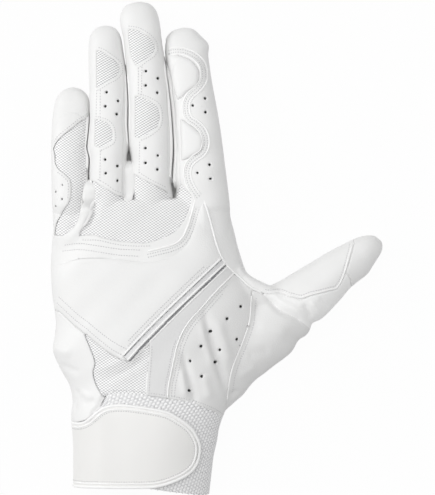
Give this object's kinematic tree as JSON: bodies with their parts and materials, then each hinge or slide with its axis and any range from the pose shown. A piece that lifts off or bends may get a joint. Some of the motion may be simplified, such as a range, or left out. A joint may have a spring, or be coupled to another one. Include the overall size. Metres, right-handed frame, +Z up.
{
  "type": "batting glove",
  "caption": "Left-hand batting glove, filled as worn: leather stalls and panels, stretch mesh, padded back, knitted cuff and a wrist strap that peels open.",
  "frame": {"origin": "bottom centre of the bounding box, on the table under the palm", "axes": "+Z up out of the back of the hand, +Y from the cuff to the fingertips, +X towards the thumb"},
  "size_m": [0.1564, 0.2308, 0.0461],
  "materials": {
    "leather": "smooth white synthetic leather",
    "palm_leather": "soft white grained leather",
    "mesh": "white stretch mesh",
    "knit": "white ribbed elastic knit",
    "foam": "closed-cell foam",
    "hook_and_loop": "hook and loop tape",
    "trim": "silver grey trim tape"
  },
  "bodies": {
    "hand": {"back_mesh_panel": "mesh", "knuckle_strip": "leather", "little_root_panel": "leather", "little_side_panel": "leather", "index_side_panel": "leather", "thumb_gusset": "leather", "back_lining": "leather", "back_pad_foam": "foam", "back_pad_cover": "leather", "welt_piping_upper": "leather", "welt_piping_lower": "leather", "welt_channel": "trim", "diagonal_trim_panel": "leather", "lower_mesh_wedge": "mesh", "perforated_thumb_panel": "leather", "thumb_base_panel": "leather", "palm_panel": "palm_leather", "palm_heel_patch": "palm_leather", "cuff": "knit", "cuff_binding": "knit", "loop_patch": "hook_and_loop", "strap_anchor": "leather", "little_root_sleeve": "mesh", "ring_root_sleeve": "mesh", "middle_root_sleeve": "mesh", "index_root_sleeve": "mesh", "thumb_root_sleeve": "mesh"},
    "strap": {"strap_tab": "leather", "strap_binding": "leather", "hook_patch": "hook_and_loop"},
    "little_first": {"little_knuckle_sleeve": "mesh", "little_first_stall": "leather"},
    "little_second": {"little_end_knuckle_sleeve": "mesh", "little_second_stall": "leather"},
    "little_tip": {"little_tip": "leather"},
    "ring_first": {"ring_knuckle_sleeve": "mesh", "ring_first_back": "leather", "ring_first_palm": "palm_leather"},
    "ring_second": {"ring_end_knuckle_sleeve": "mesh", "ring_second_back": "leather", "ring_second_palm": "palm_leather"},
    "ring_tip": {"ring_tip": "leather"},
    "middle_first": {"middle_knuckle_sleeve": "mesh", "middle_first_back": "leather", "middle_first_palm": "palm_leather"},
    "middle_second": {"middle_end_knuckle_sleeve": "mesh", "middle_second_back": "leather", "middle_second_palm": "palm_leather"},
    "middle_tip": {"middle_tip": "leather"},
    "index_first": {"index_knuckle_sleeve": "mesh", "index_first_stall": "leather"},
    "index_second": {"index_end_knuckle_sleeve": "mesh", "index_second_back": "leather", "index_second_palm": "palm_leather"},
    "index_tip": {"index_tip": "leather"},
    "thumb_first": {"thumb_knuckle_sleeve": "mesh", "thumb_first_back": "leather", "thumb_first_palm": "palm_leather"},
    "thumb_tip": {"thumb_tip": "leather"}
  },
  "joints": [
    {"name": "little_root", "type": "hinge", "parent": "hand", "child": "little_first", "pos_m": [-0.06918, 0.01796, 0.0191], "axis": [-0.9999, -0.0114, 0], "range_deg": [0, 75], "deforming": ["little_root_sleeve"]},
    {"name": "little_knuckle", "type": "hinge", "parent": "little_first", "child": "little_second", "pos_m": [-0.06967, 0.0396, 0.01716], "axis": [-0.9999, -0.0114, 0], "range_deg": [0, 80], "deforming": ["little_knuckle_sleeve"]},
    {"name": "little_end_knuckle", "type": "hinge", "parent": "little_second", "child": "little_tip", "pos_m": [-0.06952, 0.057, 0.01326], "axis": [-0.9999, -0.0114, 0], "range_deg": [0, 35], "deforming": ["little_end_knuckle_sleeve"]},
    {"name": "ring_root", "type": "hinge", "parent": "hand", "child": "ring_first", "pos_m": [-0.05151, 0.02783, 0.019], "axis": [-0.9996, -0.0282, 0], "range_deg": [0, 75], "deforming": ["ring_root_sleeve"]},
    {"name": "ring_knuckle", "type": "hinge", "parent": "ring_first", "child": "ring_second", "pos_m": [-0.05155, 0.05324, 0.01757], "axis": [-0.9996, -0.0282, 0], "range_deg": [0, 80], "deforming": ["ring_knuckle_sleeve"]},
    {"name": "ring_end_knuckle", "type": "hinge", "parent": "ring_second", "child": "ring_tip", "pos_m": [-0.05238, 0.08381, 0.01231], "axis": [-0.9996, -0.0282, 0], "range_deg": [0, 35], "deforming": ["ring_end_knuckle_sleeve"]},
    {"name": "middle_root", "type": "hinge", "parent": "hand", "child": "middle_first", "pos_m": [-0.03211, 0.02922, 0.01903], "axis": [-0.9975, -0.0707, 0], "range_deg": [0, 75], "deforming": ["middle_root_sleeve"]},
    {"name": "middle_knuckle", "type": "hinge", "parent": "middle_first", "child": "middle_second", "pos_m": [-0.03255, 0.06076, 0.01732], "axis": [-0.9975, -0.0707, 0], "range_deg": [0, 80], "deforming": ["middle_knuckle_sleeve"]},
    {"name": "middle_end_knuckle", "type": "hinge", "parent": "middle_second", "child": "middle_tip", "pos_m": [-0.03517, 0.09367, 0.01211], "axis": [-0.9975, -0.0707, 0], "range_deg": [0, 35], "deforming": ["middle_end_knuckle_sleeve"]},
    {"name": "index_root", "type": "hinge", "parent": "hand", "child": "index_first", "pos_m": [-0.00813, 0.02779, 0.01896], "axis": [-0.9937, -0.1125, 0], "range_deg": [0, 75], "deforming": ["index_root_sleeve"]},
    {"name": "index_knuckle", "type": "hinge", "parent": "index_first", "child": "index_second", "pos_m": [-0.00949, 0.05005, 0.01797], "axis": [-0.9937, -0.1125, 0], "range_deg": [0, 80], "deforming": ["index_knuckle_sleeve"]},
    {"name": "index_end_knuckle", "type": "hinge", "parent": "index_second", "child": "index_tip", "pos_m": [-0.01322, 0.08011, 0.01297], "axis": [-0.9937, -0.1125, 0], "range_deg": [0, 35], "deforming": ["index_end_knuckle_sleeve"]},
    {"name": "thumb_root", "type": "hinge", "parent": "hand", "child": "thumb_first", "pos_m": [0.03603, -0.02667, 0.01453], "axis": [-0.6025, 0.7981, 0], "range_deg": [0, 30], "deforming": ["thumb_root_sleeve"]},
    {"name": "thumb_knuckle", "type": "hinge", "parent": "thumb_first", "child": "thumb_tip", "pos_m": [0.05753, -0.0105, 0.0123], "axis": [-0.6025, 0.7981, 0], "range_deg": [0, 60], "deforming": ["thumb_knuckle_sleeve"]},
    {"name": "strap_peel", "type": "hinge", "parent": "hand", "child": "strap", "pos_m": [-0.0728, -0.0921, 0.0181], "axis": [0, -1, 0], "range_deg": [0, 120]}
  ]
}
